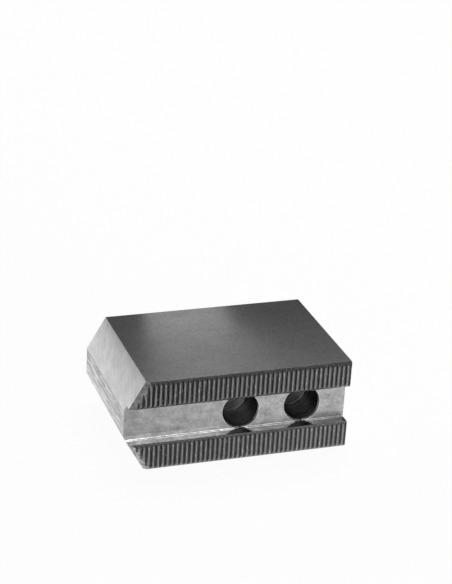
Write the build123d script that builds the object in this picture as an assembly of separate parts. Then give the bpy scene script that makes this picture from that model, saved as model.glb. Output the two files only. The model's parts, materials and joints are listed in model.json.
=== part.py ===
from build123d import *
import math
import os

# A top jaw for a power chuck: one steel block, pointed at the nose, with a serrated base, a tongue groove
# along the middle of that base and two counterbored screw holes.
# It lies on one side face. The origin is the middle of that face. X runs from the nose to the square tail,
# Y from the serrated base to the clamping face, and Z across the jaw's width. All sizes are in millimetres.

# Block
length = 71.5
width = 29.5
height = 48.0
edge_break = 0.4

# Nose: a flat strip between two faces that slope back, so that three jaws close at 120 degrees
nose_strip = 9.0
nose_slope = 30.0

# Tongue groove along the base
groove_width = 12.0
groove_depth = 4.2
groove_corner = 0.3

# Serrations across the base
pitch = 1.5
tooth_angle = 60.0
crest_flat = 0.42
root_flat = 0.15
tail_to_root = 0.55

# Bevels round the two serrated lands
land_bevel = 1.0
nose_bevel = 1.8
tail_break = 0.6

# Screw holes, counterbored from the clamping face
screw_spacing = 20.0
tail_to_screw = 14.2
screw_hole = 11.0
screw_mouth_bevel = 0.5
seat_thickness = 11.0
head_hole = 18.0
head_mouth_bevel = 0.5

# Places that follow from the sizes above
tail_x = length / 2
nose_x = -length / 2
base_y = -height / 2
clamp_y = height / 2
middle_z = width / 2
groove_floor_y = base_y + groove_depth
seat_y = groove_floor_y + seat_thickness
nose_run = (width - nose_strip) / 2 * math.tan(math.radians(nose_slope))
tooth_depth = (pitch - crest_flat - root_flat) / 2 / math.tan(math.radians(tooth_angle / 2))
screw_xs = [tail_x - tail_to_screw - screw_spacing, tail_x - tail_to_screw]
past = 1.0  # how far a cutting tool runs past the face that it cuts


def base_edges(block):
    """The edges round the base, which is the lowest face along Y."""
    return block.faces().sort_by(Axis.Y)[0].edges()


def make_block():
    """The outline seen along Y, drawn out from the base to the clamping face, whose edges are broken."""
    outline = Polyline(
        (tail_x, base_y, 0),
        (tail_x, base_y, width),
        (nose_x + nose_run, base_y, width),
        (nose_x, base_y, middle_z + nose_strip / 2),
        (nose_x, base_y, middle_z - nose_strip / 2),
        (nose_x + nose_run, base_y, 0),
        close=True,
    )
    block = extrude(make_face(outline), amount=height, dir=(0, 1, 0))
    clamping_face = block.faces().sort_by(Axis.Y)[-1]
    return chamfer(clamping_face.edges(), edge_break)


def bevel_base(block):
    """Bevels on the base's two long edges, wider ones round the nose and a small one along the tail."""
    long_edges = base_edges(block).filter_by(Axis.X)
    block = chamfer(long_edges, land_bevel)
    nose_edges = base_edges(block).filter_by_position(Axis.X, nose_x, nose_x + nose_run)
    block = chamfer(nose_edges, nose_bevel)
    tail_edge = base_edges(block).sort_by(Axis.X)[-1]
    return chamfer(tail_edge, tail_break)


def cut_tongue_groove(jaw):
    """A square groove through the whole length, with rounded inner corners and the lands' bevels at its mouth."""
    half = groove_width / 2
    outside = half + land_bevel + past
    section = make_face(
        Polyline(
            (-outside, -past),
            (-half, land_bevel),
            (-half, groove_depth),
            (half, groove_depth),
            (half, land_bevel),
            (outside, -past),
            close=True,
        )
    )
    floor_corners = section.vertices().sort_by(Axis.Y)[-2:]
    section = fillet(floor_corners, groove_corner)
    tail_plane = Plane(origin=(tail_x + past, base_y, middle_z), x_dir=(0, 0, 1), z_dir=(-1, 0, 0))
    return jaw - extrude(tail_plane * section, amount=length + 2 * past, dir=(-1, 0, 0))


def serration_roots():
    """The x of each groove's root line, counted from the tail towards the nose."""
    count = int((length - tail_to_root) / pitch) + 1
    return [tail_x - tail_to_root - i * pitch for i in range(count)]


def cut_serrations(jaw):
    """Equal V grooves across both lands. Where they meet a bevel they run out on it as small triangles."""
    half_root = root_flat / 2
    half_mouth = (pitch - crest_flat) / 2
    section = make_face(
        Polyline(
            (-half_root, base_y + tooth_depth),
            (half_root, base_y + tooth_depth),
            (half_mouth, base_y),
            (half_mouth, base_y - past),
            (-half_mouth, base_y - past),
            (-half_mouth, base_y),
            close=True,
        )
    )
    cutter = Pos(0, 0, -past) * extrude(section, amount=width + 2 * past, dir=(0, 0, 1))
    return jaw - [Pos(x, 0, 0) * cutter for x in serration_roots()]


def screw_hole_tool():
    """One screw hole about the Y axis: mouth bevel, clearance hole, and the wider hole for the screw's head."""
    screw_r = screw_hole / 2
    mouth_r = screw_r + screw_mouth_bevel
    head_r = head_hole / 2
    half_section = make_face(
        Polyline(
            (0, base_y - past),
            (mouth_r, base_y - past),
            (mouth_r, groove_floor_y),
            (screw_r, groove_floor_y + screw_mouth_bevel),
            (screw_r, seat_y),
            (head_r, seat_y),
            (head_r, clamp_y - head_mouth_bevel),
            (head_r + head_mouth_bevel + past, clamp_y + past),
            (0, clamp_y + past),
            close=True,
        )
    )
    return revolve(half_section, axis=Axis.Y)


def cut_screw_holes(jaw):
    tool = screw_hole_tool()
    return jaw - [Pos(x, 0, middle_z) * tool for x in screw_xs]


def make_jaw():
    jaw = bevel_base(make_block())
    jaw = cut_tongue_groove(jaw)
    jaw = cut_serrations(jaw)
    return cut_screw_holes(jaw)


os.makedirs("parts", exist_ok=True)
jaw = make_jaw()
jaw.label = "top_jaw"
export_step(jaw, "parts/top_jaw.step")
print("top_jaw volume", round(jaw.volume, 1), "faces", len(jaw.faces()), "tooth depth", round(tooth_depth, 3))
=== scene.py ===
import json
import math

import bmesh
import bpy
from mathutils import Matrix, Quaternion, Vector, noise


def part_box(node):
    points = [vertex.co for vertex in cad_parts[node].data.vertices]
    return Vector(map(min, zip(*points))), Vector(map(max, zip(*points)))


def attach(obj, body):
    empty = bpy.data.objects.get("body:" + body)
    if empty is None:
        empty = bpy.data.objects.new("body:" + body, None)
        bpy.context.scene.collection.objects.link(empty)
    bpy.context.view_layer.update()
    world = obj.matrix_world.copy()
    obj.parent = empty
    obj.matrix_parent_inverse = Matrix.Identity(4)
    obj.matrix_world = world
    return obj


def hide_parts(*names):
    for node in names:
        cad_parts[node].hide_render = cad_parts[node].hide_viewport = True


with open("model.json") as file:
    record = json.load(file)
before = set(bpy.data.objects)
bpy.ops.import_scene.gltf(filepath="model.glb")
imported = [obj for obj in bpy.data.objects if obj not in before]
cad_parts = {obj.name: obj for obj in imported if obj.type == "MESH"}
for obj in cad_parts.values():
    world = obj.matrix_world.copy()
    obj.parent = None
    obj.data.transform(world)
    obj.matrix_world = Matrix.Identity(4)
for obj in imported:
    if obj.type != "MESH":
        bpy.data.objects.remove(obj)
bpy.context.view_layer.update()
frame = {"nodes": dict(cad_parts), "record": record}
mm = 0.001  # Blender works in metres here, and the sizes below are written in millimetres
low, high = (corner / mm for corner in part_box("top_jaw"))  # the jaw's two far corners
print("frame loaded")


# sRGB hex to linear red, green, blue and alpha
def linear(hexColour):
    channels = [int(hexColour[i:i + 2], 16) / 255 for i in (1, 3, 5)]
    return (*(c / 12.92 if c <= 0.04045 else ((c + 0.055) / 1.055) ** 2.4 for c in channels), 1.0)


# adds a node: each input is a plain value or another node's output, and settings are its properties
def addNode(tree, kind, inputs={}, **settings):
    node = tree.nodes.new(kind)
    for name, value in settings.items():
        setattr(node, name, value)
    for name, value in inputs.items():
        if isinstance(value, bpy.types.NodeSocket):
            tree.links.new(value, node.inputs[name])
        else:
            node.inputs[name].default_value = value
    return node


# lays colours over a first one, each by its own share: a Mix node's colours are inputs 6 and 7 and output 2
def layColours(tree, first, layers):
    colour = linear(first)
    for share, over in layers:
        inputs = {0: share, 6: colour, 7: linear(over)}
        colour = addNode(tree, "ShaderNodeMix", inputs, data_type="RGBA").outputs[2]
    return colour


def newMaterial(name):
    material = bpy.data.materials.new(name)
    material.use_nodes = True
    material.node_tree.nodes.clear()
    return material, material.node_tree


def link(item):
    bpy.context.scene.collection.objects.link(item)
    return item


# Camera: it stands in front, to the left and above, and is turned a little about its own axis. Sizes in mm
camera = {
    "place": (-166.70, -460.61, 265.93),
    "aim": (5.52, 10.42, 40.77),
    "roll": 3.377,  # degrees
    "lens": 107.52,
    "sensor": 36.0,
    "clearBefore": 10,  # nothing nearer than this is drawn
}


def makeCamera():
    data = bpy.data.cameras.new("camera")
    data.lens = camera["lens"]
    data.sensor_width = camera["sensor"]
    data.clip_start = camera["clearBefore"] * mm
    place, aim = Vector(camera["place"]) * mm, Vector(camera["aim"]) * mm
    item = link(bpy.data.objects.new("camera", data))
    item.rotation_mode = "QUATERNION"
    item.location = place
    roll = Quaternion((0, 0, 1), math.radians(camera["roll"]))
    item.rotation_quaternion = (aim - place).to_track_quat("-Z", "Y") @ roll
    bpy.context.scene.camera = item
    print("camera ready")


# Room: white behind the jaw up to a low height, grey overhead, dim on the camera's side
room = {
    "horizon": "#ffffff",
    "overhead": "#767676",
    "nearSide": "#6e6e6e",
    "background": "#ffffff",  # what the camera sees in place of the room
    "whiteUpTo": 0.28,  # sine of the height at which the white starts to fade
    "greyFrom": 0.48,  # sine of the height from which it is all grey
    "nearFrom": 0.1,  # the dim side starts at this Y direction and is full at the next
    "nearFull": -0.5,
    "strength": 1.0,
}


def makeRoom():
    world = bpy.data.worlds.new("studio room")
    bpy.context.scene.world = world
    world.cycles.sampling_method = "NONE"  # the cards can't shade a room that is sampled as a lamp
    world.use_nodes = True
    tree = world.node_tree
    tree.nodes.clear()
    direction = addNode(tree, "ShaderNodeTexCoord").outputs["Generated"]
    parts = addNode(tree, "ShaderNodeSeparateXYZ", {"Vector": direction}).outputs
    upwards = {"Value": parts["Z"], "From Min": room["whiteUpTo"], "From Max": room["greyFrom"]}
    nearer = {"Value": parts["Y"], "From Min": room["nearFrom"], "From Max": room["nearFull"]}
    overhead, nearSide = (
        addNode(tree, "ShaderNodeMapRange", reach, interpolation_type="SMOOTHSTEP").outputs["Result"]
        for reach in (upwards, nearer)
    )
    shade = layColours(tree, room["horizon"], [(overhead, room["overhead"]), (nearSide, room["nearSide"])])
    lit = addNode(tree, "ShaderNodeBackground", {"Color": shade, "Strength": room["strength"]})
    plain = addNode(tree, "ShaderNodeBackground", {"Color": linear(room["background"])})
    seen = addNode(tree, "ShaderNodeLightPath").outputs["Is Camera Ray"]
    mix = addNode(tree, "ShaderNodeMixShader", {0: seen, 1: lit.outputs[0], 2: plain.outputs[0]})
    addNode(tree, "ShaderNodeOutputWorld", {"Surface": mix.outputs[0]})
    print("room ready")


# Lamps: place, aim and size in mm, power in watts
lamps = {
    "topSoftbox": {"place": (250, 450, 1000), "aim": (0, 0, 0), "size": (900, 700), "power": 6.5},
    "frontSoftbox": {"place": (130, -900, 440), "aim": (0, 0, 0), "size": (660, 300), "power": 1.9},
    "rightSoftbox": {"place": (900, 150, 350), "aim": (0, 0, 0), "size": (500, 500), "power": 1.5},
}


def makeLamps():
    for name, lamp in lamps.items():
        data = bpy.data.lights.new(name, "AREA")
        data.shape = "RECTANGLE"
        data.size, data.size_y = (side * mm for side in lamp["size"])
        data.energy = lamp["power"]
        item = link(bpy.data.objects.new(name, data))
        place, aim = Vector(lamp["place"]) * mm, Vector(lamp["aim"]) * mm
        item.location = place
        item.rotation_euler = (aim - place).to_track_quat("-Z", "Y").to_euler()
        item.visible_camera = False
    print("lamps ready")


# Cards behind the jaw, mostly above it. Only reflections show them: they give its side face two dark ends and
# a dimmer front. Each has its lowest and highest Z, and the X of its sides at the bottom and the top, in mm
cards = {
    "behind": 20,  # mm from the clamping face
    "left": {"colour": "#101010", "heights": (30, 92), "bottom": (-90, -13), "top": (-90, 4)},
    "middle": {"colour": "#b4b4b4", "heights": (46, 76), "bottom": (-8, 24), "top": (1, 46)},
    "right": {"colour": "#101010", "heights": (24, 72), "bottom": (7, 90), "top": (43, 90)},
}


def makeCards():
    y = high.y + cards["behind"]
    for side in ("left", "middle", "right"):
        card = cards[side]
        material, tree = newMaterial(side + " card")
        matt = addNode(tree, "ShaderNodeBsdfDiffuse", {"Color": linear(card["colour"])})
        addNode(tree, "ShaderNodeOutputMaterial", {"Surface": matt.outputs[0]})
        bottom, top = card["heights"]
        (lowLeft, lowRight), (highLeft, highRight) = card["bottom"], card["top"]
        outline = ((lowLeft, bottom), (lowRight, bottom), (highRight, top), (highLeft, top))
        corners = [Vector((x, y, z)) * mm for x, z in outline]
        mesh = bpy.data.meshes.new(side + "Card")
        mesh.from_pydata(corners, [], [(0, 1, 2, 3)])
        mesh.materials.append(material)
        item = link(bpy.data.objects.new(side + "Card", mesh))
        item.visible_camera = item.visible_diffuse = item.visible_shadow = item.visible_transmission = False
    print("cards ready")


# Table: a plain white sheet. The camera and reflections see it partly as it is lit and partly as pure white,
# so its shadow is kept but faint
table = {
    "size": 8000,  # mm
    "colour": "#f4f4f4",
    "white": "#ffffff",
    "whiteShare": 0.95,
}


def makeTable():
    half = table["size"] * mm / 2
    corners = [(-half, -half, 0), (half, -half, 0), (half, half, 0), (-half, half, 0)]
    mesh = bpy.data.meshes.new("table")
    mesh.from_pydata(corners, [], [(0, 1, 2, 3)])
    material, tree = newMaterial("matt white card")
    paths = addNode(tree, "ShaderNodeLightPath").outputs
    seen = paths["Is Camera Ray"]
    for path in ("Is Glossy Ray", "Is Transmission Ray"):
        seen = addNode(tree, "ShaderNodeMath", {0: seen, 1: paths[path]}, operation="MAXIMUM").outputs[0]
    whitened = {0: seen, 1: table["whiteShare"]}
    share = addNode(tree, "ShaderNodeMath", whitened, operation="MULTIPLY").outputs[0]
    card = addNode(tree, "ShaderNodeBsdfDiffuse", {"Color": linear(table["colour"])})
    white = addNode(tree, "ShaderNodeEmission", {"Color": linear(table["white"])})
    mix = addNode(tree, "ShaderNodeMixShader", {0: share, 1: card.outputs[0], 2: white.outputs[0]})
    addNode(tree, "ShaderNodeOutputMaterial", {"Surface": mix.outputs[0]})
    mesh.materials.append(material)
    link(bpy.data.objects.new("table", mesh))
    print("table ready")


# Steel finishes: the jaw is one bare alloy steel, and each kind of cut leaves it another skin; some
# finishes also carry painted shade or painted highlight.
# Dark and light are the ends of its colour, rough is its roughness at each of them, depth its relief in mm.
# Tones are patterns that together run from the dark to the light end, each by its own share of that range.
# Fades are another colour towards one side, and flecks another colour only where a pattern is strong.
# Long and wide are a pattern's grain in mm, along is the way that it runs: the jaw's X unless it is given.
# Tool marks finer than 0.5 mm wouldn't show in the picture, so they are drawn at 0.5 mm or more.
# No finish's roughness crosses 0.27, because the denoiser leaves scribbles where it does.
finishes = {
    # surface ground, on the sides and the clamping face: flat and dull grey, with a faint lay along the jaw
    "groundSteel": {
        "dark": "#929292", "light": "#b6b6b6", "rough": (0.31, 0.285), "depth": 0.003,
        "tones": [{"share": 0.15, "long": 14, "wide": 1.5}, {"share": 0.3, "long": 9, "wide": 7},
                  {"share": 0.55, "long": 0.9, "wide": 0.9}],
    },
    # face milled, on the slopes and the tail: bright, with fine slanting streaks where the cutter passed
    "milledSteel": {
        "dark": "#cccccc", "light": "#e4e4e4", "rough": (0.4, 0.3), "depth": 0.004,
        "tones": [{"share": 0.45, "long": 5, "wide": 0.7, "along": (0.28, 1, 0.48)},
                  {"share": 0.3, "long": 5, "wide": 4}, {"share": 0.25, "long": 1.0, "wide": 1.0}],
    },
    # rough planed, on the nose strip: long torn lines, with painted shade and painted highlight dashes along
    # them, and a little darker towards the base
    "planedSteel": {
        "dark": "#8c8c8c", "light": "#ececec", "rough": (0.45, 0.35), "depth": 0.02,
        "tones": [{"share": 0.6, "long": 60, "wide": 0.6, "along": (0, 1, 0)},
                  {"share": 0.4, "long": 10, "wide": 0.8, "along": (0, 1, 0)}],
        "fades": [{"axis": "Y", "from": 0, "to": -20, "colour": "#888888", "share": 0.18}],
        "flecks": [{"colour": "#505050", "share": 0.65, "from": 0.56, "to": 0.72,
                    "long": 6, "wide": 0.5, "along": (0, 1, 0)},
                   {"colour": "#ffffff", "share": 0.65, "from": 0.56, "to": 0.7,
                    "long": 5, "wide": 0.5, "along": (0, 1, 0)}],
    },
    # slot milled, on the groove's floor and the bevel above the lower teeth: clean, light, with soft clouds
    # where the cutter rubbed, and duller towards the nose
    "slotSteel": {
        "dark": "#8c8c8c", "light": "#cccccc", "rough": (0.38, 0.29), "depth": 0.004,
        "tones": [{"share": 0.35, "long": 0.8, "wide": 0.8}, {"share": 0.5, "long": 4, "wide": 3},
                  {"share": 0.15, "long": 7, "wide": 0.8}],
        "fades": [{"axis": "X", "from": 20, "to": -34, "colour": "#808080", "share": 0.4}],
    },
    # slot milled by the cutter's side, on the groove's walls: brighter and grainy, darker from the middle of
    # the jaw, and darker still at the tail with painted shade
    "wallSteel": {
        "dark": "#a0a0a0", "light": "#fafafa", "rough": (0.25, 0.18), "depth": 0.008,
        "tones": [{"share": 0.6, "long": 0.9, "wide": 0.7, "detail": 2},
                  {"share": 0.4, "long": 5, "wide": 0.8}],
        "fades": [{"axis": "X", "from": -16, "to": 10, "colour": "#848484", "share": 0.7},
                  {"axis": "X", "from": 24, "to": 30, "colour": "#808080", "share": 0.9}],
    },
    # near white, the brightest lines on the jaw: a painted highlight on the groove's floor by its lower
    # corner, and on the screws' seat edges, which the screws rubbed, a burnish brightened with painted
    # highlight
    "burnishAndPaintedHighlight": {
        "dark": "#f0f0f0", "light": "#fefefe", "rough": (0.26, 0.18), "depth": 0.002,
        "tones": [{"share": 1.0, "long": 3, "wide": 1}],
    },
    # form milled, on the teeth and the bevel under the lower ones: grey and slightly torn tops with bright
    # nicks, painted shade deep in the roots, and the lower teeth a little lighter with a painted reflection
    "toothSteel": {
        "dark": "#6c6c6c", "light": "#929292", "rough": (0.45, 0.3), "depth": 0.008,
        "tones": [{"share": 0.5, "long": 0.6, "wide": 0.6, "detail": 2},
                  {"share": 0.5, "long": 2.5, "wide": 0.8, "along": (0, 0, 1)}],
        "fades": [{"axis": "Y", "from": low.y + 0.08, "to": low.y + 0.7, "colour": "#444444", "share": 1.0},
                  {"axis": "Z", "from": 12, "to": 6, "colour": "#b4b4b4", "share": 0.11}],
        "flecks": [{"colour": "#d8d8d8", "share": 0.6, "from": 0.7, "to": 0.76,
                    "long": 0.8, "wide": 0.5, "along": (0, 0, 1)}],
    },
    # burrs and small bevels, on the nose side of each tooth, round the screw holes and under the upper teeth:
    # rubbed bright here and there, and lighter towards the tail
    "burrSteel": {
        "dark": "#646464", "light": "#868686", "rough": (0.4, 0.3), "depth": 0.01,
        "tones": [{"share": 0.5, "long": 0.9, "wide": 0.9, "detail": 2},
                  {"share": 0.5, "long": 4, "wide": 4}],
        "fades": [{"axis": "X", "from": -10, "to": 30, "colour": "#989898", "share": 0.6}],
        "flecks": [{"colour": "#e8e8e8", "share": 0.5, "from": 0.6, "to": 0.7,
                    "long": 1.5, "wide": 0.8, "along": (0, 0, 1)}],
    },
    # chamfered and left with its dark scale, on the bevel above the upper teeth: speckled with bare metal
    "scaledSteel": {
        "dark": "#505050", "light": "#868686", "rough": (0.5, 0.35), "depth": 0.008,
        "tones": [{"share": 0.6, "long": 0.8, "wide": 0.7, "detail": 2},
                  {"share": 0.4, "long": 4, "wide": 3}],
        "flecks": [{"colour": "#c0c0c0", "share": 0.6, "from": 0.7, "to": 0.76, "long": 0.8, "wide": 0.6}],
    },
    # filed by hand, on the bevels round the nose: grainy, half dark scale and half bare metal
    "filedSteel": {
        "dark": "#6c6c6c", "light": "#d4d4d4", "rough": (0.45, 0.35), "depth": 0.02,
        "tones": [{"share": 0.6, "long": 1.6, "wide": 0.8, "along": (1, 0.6, 0.8)},
                  {"share": 0.4, "long": 4, "wide": 3}],
    },
    # drilled, in the screw holes: dark with painted shade, and with the drill's fine rings
    "drilledSteel": {
        "dark": "#383838", "light": "#848484", "rough": (0.4, 0.28), "depth": 0.01,
        "tones": [{"share": 0.7, "long": 0.6, "wide": 9, "along": (0, 1, 0), "detail": 2},
                  {"share": 0.3, "long": 3, "wide": 3}],
    },
}
finishNames = list(finishes)

# Patterns: each is a part of Blender's noise
patterns = {
    "from": 0.3,  # the noise seldom falls below this
    "to": 0.7,  # or rises above this
    "detail": 1,  # how many finer layers it has
    "apart": (7.3, 3.1, 0),  # how far apart two patterns lie in the noise, so that no two are alike
    "tonesUpTo": 3,  # a finish has this many at most
    "flecksUpTo": 2,
}


# a noise pattern, stretched along its own way: from 0 to its whole share
def pattern(tree, grain, number):
    place = addNode(tree, "ShaderNodeTexCoord").outputs["Object"]
    turn = Vector(grain.get("along", (1, 0, 0))).to_track_quat("X", "Z").to_euler()
    size = Vector((grain["long"], grain["wide"], grain["wide"])) * mm
    stretch = {"Vector": place, "Rotation": turn, "Scale": size}
    spot = addNode(tree, "ShaderNodeMapping", stretch, vector_type="TEXTURE").outputs[0]
    shift = [number * step for step in patterns["apart"]]
    apart = addNode(tree, "ShaderNodeVectorMath", {0: spot, 1: shift}, operation="ADD").outputs[0]
    look = {"Vector": apart, "Scale": 1.0, "Detail": grain.get("detail", patterns["detail"])}
    cloud = addNode(tree, "ShaderNodeTexNoise", look).outputs["Fac"]
    start, end = (grain.get(edge, patterns[edge]) for edge in ("from", "to"))
    reach = {"Value": cloud, "From Min": start, "From Max": end, "To Max": grain["share"]}
    return addNode(tree, "ShaderNodeMapRange", reach).outputs["Result"]


# how far a fade has come at each place: from 0 to its whole share
def fadeShare(tree, fade):
    place = addNode(tree, "ShaderNodeTexCoord").outputs["Object"]
    along = addNode(tree, "ShaderNodeSeparateXYZ", {"Vector": place}).outputs[fade["axis"]]
    start, end = fade["from"] * mm, fade["to"] * mm
    reach = {"Value": along, "From Min": start, "From Max": end, "To Max": fade["share"]}
    return addNode(tree, "ShaderNodeMapRange", reach).outputs["Result"]


def makeSteel(name, finish):
    material, tree = newMaterial(name)
    firstTone = finishNames.index(name) * (patterns["tonesUpTo"] + patterns["flecksUpTo"])
    firstFleck = firstTone + patterns["tonesUpTo"]
    tone = 0.0
    for number, grain in enumerate(finish["tones"], firstTone):
        part = pattern(tree, grain, number)
        tone = addNode(tree, "ShaderNodeMath", {0: tone, 1: part}, operation="ADD").outputs[0]
    layers = [(tone, finish["light"])]
    for fade in finish.get("fades", []):
        layers.append((fadeShare(tree, fade), fade["colour"]))
    for number, fleck in enumerate(finish.get("flecks", []), firstFleck):
        layers.append((pattern(tree, fleck, number), fleck["colour"]))
    colour = layColours(tree, finish["dark"], layers)
    atDark, atLight = finish["rough"]
    dullness = {"Value": tone, "To Min": atDark, "To Max": atLight}
    rough = addNode(tree, "ShaderNodeMapRange", dullness).outputs["Result"]
    relief = {"Height": tone, "Strength": 1.0, "Distance": finish["depth"] * mm}
    bump = addNode(tree, "ShaderNodeBump", relief).outputs["Normal"]
    skin = {"Metallic": 1.0, "Base Color": colour, "Roughness": rough, "Normal": bump}
    steel = addNode(tree, "ShaderNodeBsdfPrincipled", skin)
    addNode(tree, "ShaderNodeOutputMaterial", {"Surface": steel.outputs[0]})
    return material


# Jaw: sizes in mm, angles in degrees
jaw = {
    "near": 0.05,  # two places this close are the same
    "seam": 0.001,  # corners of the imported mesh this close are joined
    "sameFace": 0.6,  # faces that turn by less than this are one face
    "sharpFrom": 25,  # edges that turn by more than this are worn round
    "wear": {"tooth": 0.1, "seat": 0.3, "rest": 0.05},  # how wide the sharp edges are rounded
    "wearSteps": 2,  # faces across a rounded edge
    "creaseFrom": 60,  # edges that still turn by more than this are creases
    "snap": 0.002,  # a cut this close to a corner goes through it
    "holeReach": 0.6,  # a screw hole's faces lie within this of its wide radius
    "clampBreak": 0.5,  # the clamping face's edges are broken within this height
    "cornerReach": 1,  # the groove's corners lie within this height of its floor
    "cornerRadius": 0.3,  # in the groove
    "cornerArc": 0.98,  # its arc, but not the arc's end on the wall, lies within this share of the radius
    "highlightBand": 0.3,  # width of the painted highlight line on the groove's floor
    "teethUpTo": 1.6,  # the teeth and the long bevels lie within this height from the base
    "rootsUpTo": 0.85,  # and the teeth alone within this one
    "toothStart": 0.13,  # keeps the planes that divide the teeth off the ends of the roots
    "toothStep": 0.5,  # the teeth are divided this finely along their length
    # long and wide are the sizes of a mark's waves, and slice is the part of the noise that gives them
    "toothLean": {"most": 0.03, "long": 4.0, "wide": 2.1, "slice": 3.0},  # how far they lean
    "toothDent": {"most": 0.06, "long": 0.6, "wide": 0.7, "slice": 11.0},  # how deep they are dented
    "noseReach": 7,  # the middles of the nose's faces lie within this of its tip
    "noseStep": 1.2,  # they are divided this finely along the jaw's height
    "stripStep": 0.25,  # and the nose strip this finely across it
    "stripWithin": 0.2,  # the strip lies within this of the tip
    "stripFrom": 0.1,  # its torn lines start this far above the groove's floor
    "stripRelief": 0.055,  # how deep they are
    "stripSink": 0.5,  # by this share of their depth the whole strip lies deeper
    "stripTears": [{"share": 1, "long": 25, "wide": 0.6, "slice": 2.0},
                   {"share": 0.5, "long": 4, "wide": 0.4, "slice": 5.0}],
}

# how much of a face's normal points one way, from 0 to 1
squarely, mostly, well, partly, hardly = 0.99, 0.9, 0.55, 0.3, 0.1


# the screw holes, in mm: the X and Z of their axes, both radii, and the Y of the seat between them
def holes():
    bores = [mount for mount in frame["record"]["mounts"] if mount["kind"] == "bore"]
    narrow, wide = (pick(bore["dims"]["r_mm"] for bore in bores) for pick in (min, max))
    screws = [bore for bore in bores if bore["dims"]["r_mm"] == narrow]
    axes = [(bore["pos_m"][0] / mm, bore["pos_m"][2] / mm) for bore in screws]
    seat = screws[0]["pos_m"][1] / mm + screws[0]["dims"]["length_mm"] / 2
    return {"axes": axes, "narrow": narrow, "wide": wide, "seat": seat}


# how far a spot is from the nearest screw hole's axis
def fromAxis(spot, bores):
    return min(math.hypot(spot.x - x, spot.z - z) for x, z in bores["axes"])


def grooveFloor():
    mounts = frame["record"]["mounts"]
    return next(mount["pos_m"][1] for mount in mounts if mount["name"] == "tongue_groove") / mm


# the finish of a face, from the way it faces and where it lies
def finishOf(face, floor, bores):
    way = face.normal
    centre = face.calc_center_median() / mm
    y, z = centre.y, centre.z
    near, away = jaw["near"], fromAxis(centre, bores)
    upper = z > (low.z + high.z) / 2
    if floor + near < y < high.y - near and away < bores["wide"] + jaw["holeReach"]:
        if away < bores["narrow"] + jaw["wear"]["seat"] and hardly < way.y < squarely:
            # the seats' edges, rubbed by the screws, get a near-white burnish with painted highlight
            return "burnishAndPaintedHighlight"
        # the holes' walls: drilled steel, dark with painted shade
        return "burrSteel" if way.y < -partly else "drilledSteel"
    if way.y < -squarely and abs(y - floor) < near:
        return "slotSteel"
    if abs(way.z) > squarely:
        return "groundSteel" if min(z - low.z, high.z - z) < near else "wallSteel"
    if way.y > squarely or y > high.y - jaw["clampBreak"]:
        return "groundSteel"
    if way.x < -squarely:
        return "planedSteel"
    if way.x > squarely or abs(way.y) < hardly:
        return "milledSteel"
    if abs(y - floor) < jaw["cornerReach"]:
        # slanted faces by the groove's floor get the painted highlight of its corner line
        return "wallSteel" if abs(way.z) > mostly else "burnishAndPaintedHighlight"
    if abs(way.z) < hardly:
        return "burrSteel" if way.x < -hardly and way.y < -well else "toothSteel"
    if way.x < -partly:
        return "filedSteel"
    if way.z < 0:
        return "burrSteel" if upper else "toothSteel"
    return "scaledSteel" if upper else "slotSteel"


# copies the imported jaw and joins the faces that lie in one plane. The groove's inner corners are squared:
# their radius is too small to show, and worn edges that meet it would fold over
def copyJaw(floor):
    shape = bmesh.new()
    shape.from_mesh(frame["nodes"]["top_jaw"].data)
    bmesh.ops.remove_doubles(shape, verts=shape.verts, dist=jaw["seam"] * mm)
    arcStart = floor - jaw["cornerRadius"] * jaw["cornerArc"]
    for vert in shape.verts:
        if arcStart < vert.co.y / mm < floor:
            vert.co.y = floor * mm
    bmesh.ops.dissolve_degenerate(shape, dist=jaw["near"] * mm, edges=shape.edges)
    flat = math.radians(jaw["sameFace"])
    bmesh.ops.dissolve_limit(shape, angle_limit=flat, verts=shape.verts, edges=shape.edges)
    return shape


# how wide an edge is rounded: not at all in the groove's corners, wider at the screw holes' seats and at the
# edge of each tooth's top that faces the nose, and the same everywhere else
def wearOf(edge, floor, corners, bores):
    near, wear = jaw["near"], jaw["wear"]
    ends = [vert.co / mm for vert in edge.verts]

    def inCorner(end):
        return abs(end.y - floor) < near and min(abs(end.z - z) for z in corners) < jaw["cornerRadius"]

    def onSeat(end):
        return abs(end.y - bores["seat"]) < near and fromAxis(end, bores) < bores["narrow"] + near

    if all(inCorner(end) for end in ends):
        return 0.0
    if all(onSeat(end) for end in ends):
        return wear["seat"]
    onTop = all(end.y < low.y + near for end in ends) and abs(ends[0].x - ends[1].x) < near
    if onTop and any(face.normal.x < -well and abs(face.normal.z) < hardly for face in edge.link_faces):
        return wear["tooth"]
    return wear["rest"]


# rounds every sharp edge
def wearEdges(shape, body, floor, bores):
    onFloor = [vert.co.z / mm for vert in shape.verts if abs(vert.co.y / mm - floor) < jaw["near"]]
    corners = min(onFloor), max(onFloor)
    weight = shape.edges.layers.float.new("bevel_weight_edge")
    widest = max(jaw["wear"].values())
    for edge in shape.edges:
        if len(edge.link_faces) == 2 and edge.calc_face_angle(0) > math.radians(jaw["sharpFrom"]):
            edge[weight] = wearOf(edge, floor, corners, bores) / widest
    shape.to_mesh(body.data)
    bevel = body.modifiers.new("worn edges", "BEVEL")
    bevel.limit_method = "WEIGHT"
    bevel.width = widest * mm
    bevel.segments = jaw["wearSteps"]
    bevel.use_clamp_overlap = False
    bpy.context.view_layer.update()
    worn = bpy.data.meshes.new_from_object(body.evaluated_get(bpy.context.evaluated_depsgraph_get()))
    body.modifiers.clear()
    shape.clear()
    shape.from_mesh(worn)
    return shape


# cuts the wanted faces by a plane across one axis
def cut(shape, wanted, axis, place):
    across = Vector([float(name == axis) for name in "xyz"])
    faces = [face for face in shape.faces if wanted(face)]
    parts = list({item for face in faces for item in (face, *face.edges, *face.verts)})
    spot = across * place * mm
    bmesh.ops.bisect_plane(shape, geom=parts, dist=jaw["snap"] * mm, plane_co=spot, plane_no=across)


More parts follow.
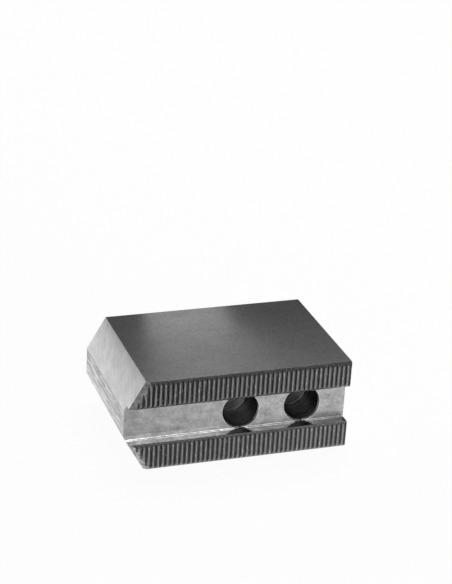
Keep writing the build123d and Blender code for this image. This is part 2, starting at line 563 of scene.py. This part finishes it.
# cuts the wanted faces by evenly spaced planes
def divide(shape, wanted, axis, step, start, end):
    for i in range(1, math.ceil((end - start) / step)):
        cut(shape, wanted, axis, start + i * step)


# the corner line: a narrow band of the groove's floor beside its lower corner, painted near white as a
# highlight in place of the light that the squared round corner would catch
def paintCornerHighlight(shape, floor):
    def onFloor(face):
        return face.normal.y < -squarely and abs(face.calc_center_median().y / mm - floor) < jaw["near"]

    lowest = min(vert.co.z for face in shape.faces if onFloor(face) for vert in face.verts) / mm
    edge = lowest + jaw["highlightBand"]
    cut(shape, onFloor, "z", edge)
    for face in shape.faces:
        if onFloor(face) and face.calc_center_median().z / mm < edge:
            face.material_index = finishNames.index("burnishAndPaintedHighlight")


# teeth: each one leans a little, more in some places than in others, and has small dents
def wearTeeth(shape):
    def inTeeth(face):
        return all(vert.co.y / mm < low.y + jaw["teethUpTo"] for vert in face.verts)

    divide(shape, inTeeth, "z", jaw["toothStep"], low.z + jaw["toothStart"], high.z)
    lean, dent = jaw["toothLean"], jaw["toothDent"]
    for vert in shape.verts:
        x, y, z = vert.co / mm
        if y > low.y + jaw["rootsUpTo"]:
            continue
        leaning = noise.noise(Vector((x / lean["wide"], lean["slice"], z / lean["long"])))
        dented = noise.noise(Vector((x / dent["wide"], z / dent["long"], dent["slice"])))
        vert.co.x += leaning * lean["most"] * mm
        vert.co.y += dented * dented * dent["most"] * mm


# nose strip: torn lines along the jaw's height
def roughenStrip(shape, floor):
    def onNose(face):
        return face.calc_center_median().x / mm < low.x + jaw["noseReach"]

    def onStrip(face):
        return face.material_index == finishNames.index("planedSteel")

    strip = [vert.co.z / mm for face in shape.faces if onStrip(face) for vert in face.verts]
    divide(shape, onNose, "y", jaw["noseStep"], low.y, high.y)
    divide(shape, onStrip, "z", jaw["stripStep"], min(strip), max(strip))
    for vert in shape.verts:
        x, y, z = vert.co / mm
        if x > low.x + jaw["stripWithin"] or y < floor + jaw["stripFrom"]:
            continue
        torn = jaw["stripSink"]
        for tear in jaw["stripTears"]:
            torn += tear["share"] * noise.noise(Vector((z / tear["wide"], y / tear["long"], tear["slice"])))
        vert.co.x += torn * jaw["stripRelief"] * mm


def makeJaw():
    floor = grooveFloor()
    shape = copyJaw(floor)
    body = link(bpy.data.objects.new("jawBody", bpy.data.meshes.new("jawBody")))
    for name, finish in finishes.items():
        body.data.materials.append(makeSteel(name, finish))
    bores = holes()
    shape = wearEdges(shape, body, floor, bores)
    for edge in shape.edges:
        edge.smooth = edge.calc_face_angle(0) < math.radians(jaw["creaseFrom"])
    for face in shape.faces:
        face.smooth = True
        face.material_index = finishNames.index(finishOf(face, floor, bores))
    paintCornerHighlight(shape, floor)
    wearTeeth(shape)
    roughenStrip(shape, floor)
    shape.to_mesh(body.data)
    shape.free()
    normals = body.modifiers.new("flat faces", "WEIGHTED_NORMAL")
    normals.keep_sharp = True
    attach(body, "root")
    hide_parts("top_jaw")
    print("jaw ready:", len(body.data.polygons), "faces")


bpy.context.scene.view_settings.view_transform = "Standard"
makeCamera()
makeRoom()
makeLamps()
makeCards()
makeTable()
makeJaw()
